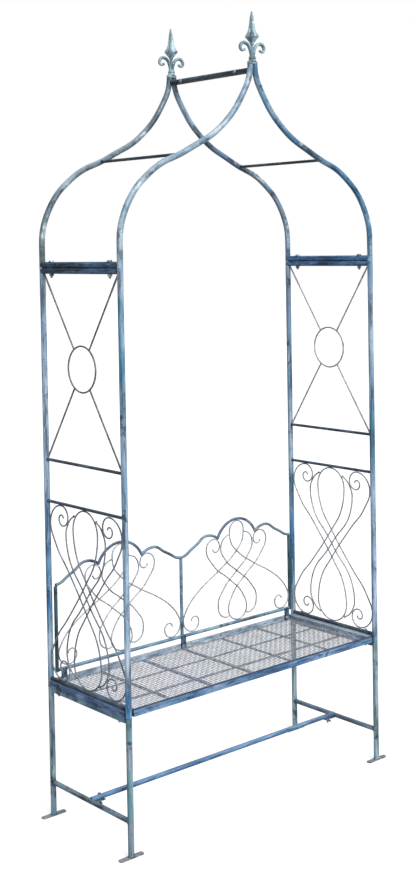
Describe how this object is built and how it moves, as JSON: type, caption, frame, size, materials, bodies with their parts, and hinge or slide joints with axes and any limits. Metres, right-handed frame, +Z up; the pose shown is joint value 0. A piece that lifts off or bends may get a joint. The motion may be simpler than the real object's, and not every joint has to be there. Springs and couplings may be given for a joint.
{
  "type": "garden arch with bench seat",
  "caption": "Ogee garden arch of painted steel tube with trellis side panels, spear finials, a wire mesh bench seat and a low scrolled back panel, standing on plate feet.",
  "frame": {"origin": "on the ground, midway between the four feet", "axes": "+Z up, +X to the right as seen from the front, -Y towards the front where a person sits down, +Y towards the back panel"},
  "size_m": [1.19, 0.444, 2.588],
  "materials": {
    "tube_paint": "antique blue paint over steel tube, brushed and rubbed thin at edges",
    "bar_paint": "antique blue paint, darker, over plain round and flat bar",
    "scroll_rod": "thin grey-brown distressed paint over bent rod",
    "mesh_wire": "pale grey-blue brushed paint over wire",
    "cast_finial": "pale verdigris rubbed over cast metal",
    "foot_paint": "scuffed grey-blue paint over plate",
    "hardware": "zinc plated, dulled outdoors"
  },
  "bodies": {
    "root": {"arch_base_bar_left": "tube_paint", "arch_base_bar_right": "tube_paint", "arch_hoop_back_left": "tube_paint", "arch_hoop_back_right": "tube_paint", "arch_hoop_front_left": "tube_paint", "arch_hoop_front_right": "tube_paint", "arch_tie_rods": "bar_paint", "back_panel_bottom_rail": "bar_paint", "back_panel_post_centre": "bar_paint", "back_panel_post_left": "bar_paint", "back_panel_post_right": "bar_paint", "back_panel_scroll_loops": "scroll_rod", "back_panel_scroll_middles": "scroll_rod", "back_panel_tabs": "bar_paint", "back_panel_top_rails": "bar_paint", "finial_collars": "cast_finial", "finial_leaves": "cast_finial", "finial_spears": "cast_finial", "foot_plates": "foot_paint", "frame_bolts": "hardware", "frame_nuts": "hardware", "leg_back_left": "tube_paint", "leg_back_right": "tube_paint", "leg_cross_rail_left": "tube_paint", "leg_cross_rail_right": "tube_paint", "leg_front_left": "tube_paint", "leg_front_right": "tube_paint", "leg_top_bars": "tube_paint", "ridge_tube_left": "tube_paint", "ridge_tube_right": "tube_paint", "seat_back_rail": "tube_paint", "seat_depth_bars": "bar_paint", "seat_front_rail": "tube_paint", "seat_length_bars": "bar_paint", "seat_mesh_cross_wires": "mesh_wire", "seat_mesh_long_wires": "mesh_wire", "seat_side_rail_left": "tube_paint", "seat_side_rail_right": "tube_paint", "side_bottom_bar_left": "bar_paint", "side_bottom_bar_right": "bar_paint", "side_cross_bars_left": "bar_paint", "side_cross_bars_right": "bar_paint", "side_diagonals_left": "bar_paint", "side_diagonals_right": "bar_paint", "side_post_back_left": "tube_paint", "side_post_back_right": "tube_paint", "side_post_front_left": "tube_paint", "side_post_front_right": "tube_paint", "side_ring_left": "bar_paint", "side_ring_right": "bar_paint", "side_scroll_loops_left": "scroll_rod", "side_scroll_loops_right": "scroll_rod", "side_scroll_middles_left": "scroll_rod", "side_scroll_middles_right": "scroll_rod", "side_top_bar_left": "tube_paint", "side_top_bar_right": "tube_paint", "stretcher": "tube_paint", "stretcher_bolts": "hardware", "stretcher_lugs": "tube_paint", "stretcher_wing_nuts": "hardware"}
  },
  "joints": []
}
